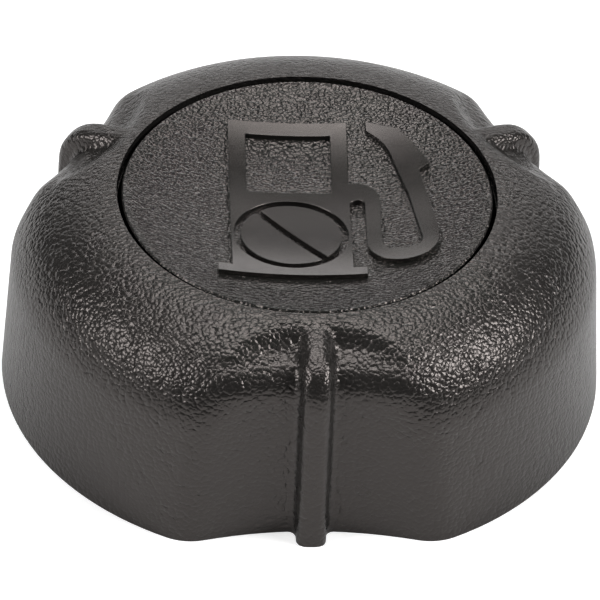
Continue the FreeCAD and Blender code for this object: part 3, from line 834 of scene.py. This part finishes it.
def slice_up(piece, spacing):
    """Cuts a piece's faces along a square net, with the spacing in millimetres."""
    only(piece)
    bpy.ops.object.mode_set(mode="EDIT")
    slices = round(SIGN_REACH / spacing)
    for along in ((1, 0, 0), (0, 1, 0)):
        for number in range(-slices, slices + 1):
            place = [number * spacing * MM * part for part in along]
            bpy.ops.mesh.select_all(action="SELECT")
            bpy.ops.mesh.bisect(plane_co=place, plane_no=along)
    bpy.ops.mesh.select_all(action="SELECT")
    bpy.ops.mesh.remove_doubles(threshold=SLICE_WELD)
    bpy.ops.object.mode_set(mode="OBJECT")


def lay_on_dish(piece, relief):
    """Moves a flat plate's corners up or down, so that its top stands clear of the dish by the relief."""
    for vertex in piece.data.vertices:
        floor = dish_height(vertex.co.x, vertex.co.y)
        vertex.co.z = floor + relief + vertex.co.z - PLATE if vertex.co.z > 0 else floor - SUNK


slice_up(pump_sign, SLICE)
lay_on_dish(pump_sign, RELIEF)
only(pump_sign)
bpy.ops.object.shade_smooth_by_angle(angle=BENT_BELOW)
dress(pump_sign, sign_plastic)
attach(pump_sign, "cap")
print("finished sign:", len(pump_sign.data.polygons), "faces, bent onto the dish")

# %% [markdown]
# Inside, the bore has a thread that runs onto the neck. A Screw modifier sweeps one small ridge profile up
# a helix. It is added here and not in the solids, since nothing measures it and it is fine detail.

# %% Thread in the bore
BORE_R = 22.0 * MM
THREAD_FROM_Z = 2.0 * MM
THREAD_PITCH = 3.2 * MM
THREAD_HEIGHT = 0.9 * MM
THREAD_WIDTH = 1.5 * MM
THREAD_ROOT = 0.1 * MM
CREST_SHARE = 0.35
THREAD_TURNS = 2.2
STEPS_A_TURN = 72


def ridge_profile():
    """A small trapezium that stands on the bore's wall and points at the axis."""
    middle = BORE_R - (THREAD_HEIGHT - THREAD_ROOT) / 2
    bpy.ops.object.select_all(action="DESELECT")
    bpy.ops.mesh.primitive_plane_add(size=1, location=(middle, 0, THREAD_FROM_Z),
                                     rotation=(math.radians(90), 0, 0))
    profile = bpy.context.object
    profile.scale = (THREAD_HEIGHT + THREAD_ROOT, THREAD_WIDTH, 1)
    bpy.ops.object.transform_apply(location=True, rotation=True, scale=True)
    for vertex in profile.data.vertices:
        if vertex.co.x < middle:
            vertex.co.z = THREAD_FROM_Z + (vertex.co.z - THREAD_FROM_Z) * CREST_SHARE
    return profile


def cap_ends(piece):
    """Closes the open ends of a sweep and turns its faces outward."""
    only(piece)
    bpy.ops.object.mode_set(mode="EDIT")
    bpy.ops.mesh.select_all(action="DESELECT")
    bpy.ops.mesh.select_non_manifold()
    bpy.ops.mesh.fill()
    bpy.ops.mesh.select_all(action="SELECT")
    bpy.ops.mesh.normals_make_consistent(inside=False)
    bpy.ops.object.mode_set(mode="OBJECT")


bore_thread = ridge_profile()
bore_thread.name = "bore_thread"
sweep_steps = round(THREAD_TURNS * STEPS_A_TURN)
apply(bore_thread, "SCREW", axis="Z", angle=THREAD_TURNS * 2 * math.pi,
      screw_offset=THREAD_TURNS * THREAD_PITCH, steps=sweep_steps, render_steps=sweep_steps,
      use_normal_calculate=True)
cap_ends(bore_thread)
bpy.ops.object.shade_smooth_by_angle(angle=SMOOTH_BELOW)
dress(bore_thread, FINISHES["body_plastic"])
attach(bore_thread, "cap")
print("thread:", len(bore_thread.data.polygons), "faces")

# %% [markdown]
# The studio is a white table in a dim room with six softboxes. A black object shows its room more than its
# own colour, so each bright or dark band on it is a lamp or a gap between lamps. Four narrow lamps stand in
# an arc from low behind the cap to right above it, and light the disc and the crown. One at each side makes
# the spots on the front corners. Nothing stands in front, which gives the dark shoulders, and the table
# gives the walls their grey. A lamp's brightness is given as its radiance, where 1 is white.

# %% Studio
FLOOR_SIZE = 8.0
TABLE_WHITE = 0.8
TABLE_ROUGHNESS = 0.9
TABLE_SEEN = 0.6
TABLE_GLOW = 0.05
ROOM_LEVEL = 0.05
SOFTBOXES = {
    "rear_low": {"azimuth": 184, "elevation": 20, "width": 1.4, "height": 0.17, "radiance": 2.6},
    "rear_middle": {"azimuth": 184, "elevation": 38, "width": 1.0, "height": 0.14, "radiance": 1.1},
    "top_rear": {"azimuth": 184, "elevation": 65, "width": 0.65, "height": 0.17, "radiance": 6.6},
    "top_middle": {"azimuth": 184, "elevation": 88, "width": 0.8, "height": 0.22, "radiance": 6.6},
    "left_side": {"azimuth": 75, "elevation": 34, "width": 0.4, "height": 0.3, "radiance": 10.0},
    "right_side": {"azimuth": -73, "elevation": 38, "width": 0.36, "height": 0.3, "radiance": 16.5},
}


def add_floor():
    """A white table, which glows a little to the camera so that it melts into the backdrop."""
    bpy.ops.object.select_all(action="DESELECT")
    bpy.ops.mesh.primitive_plane_add(size=FLOOR_SIZE, location=(0, 0, shell_low.z))
    floor = bpy.context.object
    floor.name = "table_top"
    white = Finish("table_white")
    path = white.node("ShaderNodeLightPath", output="Is Camera Ray")
    glossy = Field(white.tree, path.socket.node.outputs["Is Glossy Ray"])
    glow = white.blend(path * TABLE_SEEN + glossy * TABLE_GLOW, grey(0.0), grey(1.0))
    white.set(Base_Color=grey(TABLE_WHITE), Roughness=TABLE_ROUGHNESS, Emission_Color=glow,
              Emission_Strength=1.0)
    dress(floor, white.material)


def add_softbox(name, azimuth, elevation, width, height, radiance):
    """A rectangular lamp one metre from the cap, turned towards it."""
    look = direction(azimuth, elevation)
    data = bpy.data.lights.new(name, "AREA")
    data.shape = "RECTANGLE"
    data.size = width
    data.size_y = height
    data.energy = radiance * math.pi * width * height
    lamp = bpy.data.objects.new(name, data)
    bpy.context.scene.collection.objects.link(lamp)
    lamp.location = -look
    lamp.rotation_mode = "QUATERNION"
    lamp.rotation_quaternion = look.to_track_quat("-Z", "Y")


def set_world(level):
    """A room of the given brightness, which the camera itself sees as white."""
    world = bpy.data.worlds.new("surroundings")
    bpy.context.scene.world = world
    world.use_nodes = True
    nodes, links = world.node_tree.nodes, world.node_tree.links
    path = nodes.new("ShaderNodeLightPath")
    strength = nodes.new("ShaderNodeMapRange")
    strength.inputs["To Min"].default_value = level
    strength.inputs["To Max"].default_value = 1.0
    links.new(path.outputs["Is Camera Ray"], strength.inputs["Value"])
    background = nodes["Background"]
    background.inputs["Color"].default_value = (1, 1, 1, 1)
    links.new(strength.outputs["Result"], background.inputs["Strength"])


add_floor()
for name, box in SOFTBOXES.items():
    add_softbox(name, **box)
set_world(ROOM_LEVEL)
bpy.context.scene.view_settings.view_transform = "Standard"
print("softboxes:", ", ".join(SOFTBOXES))
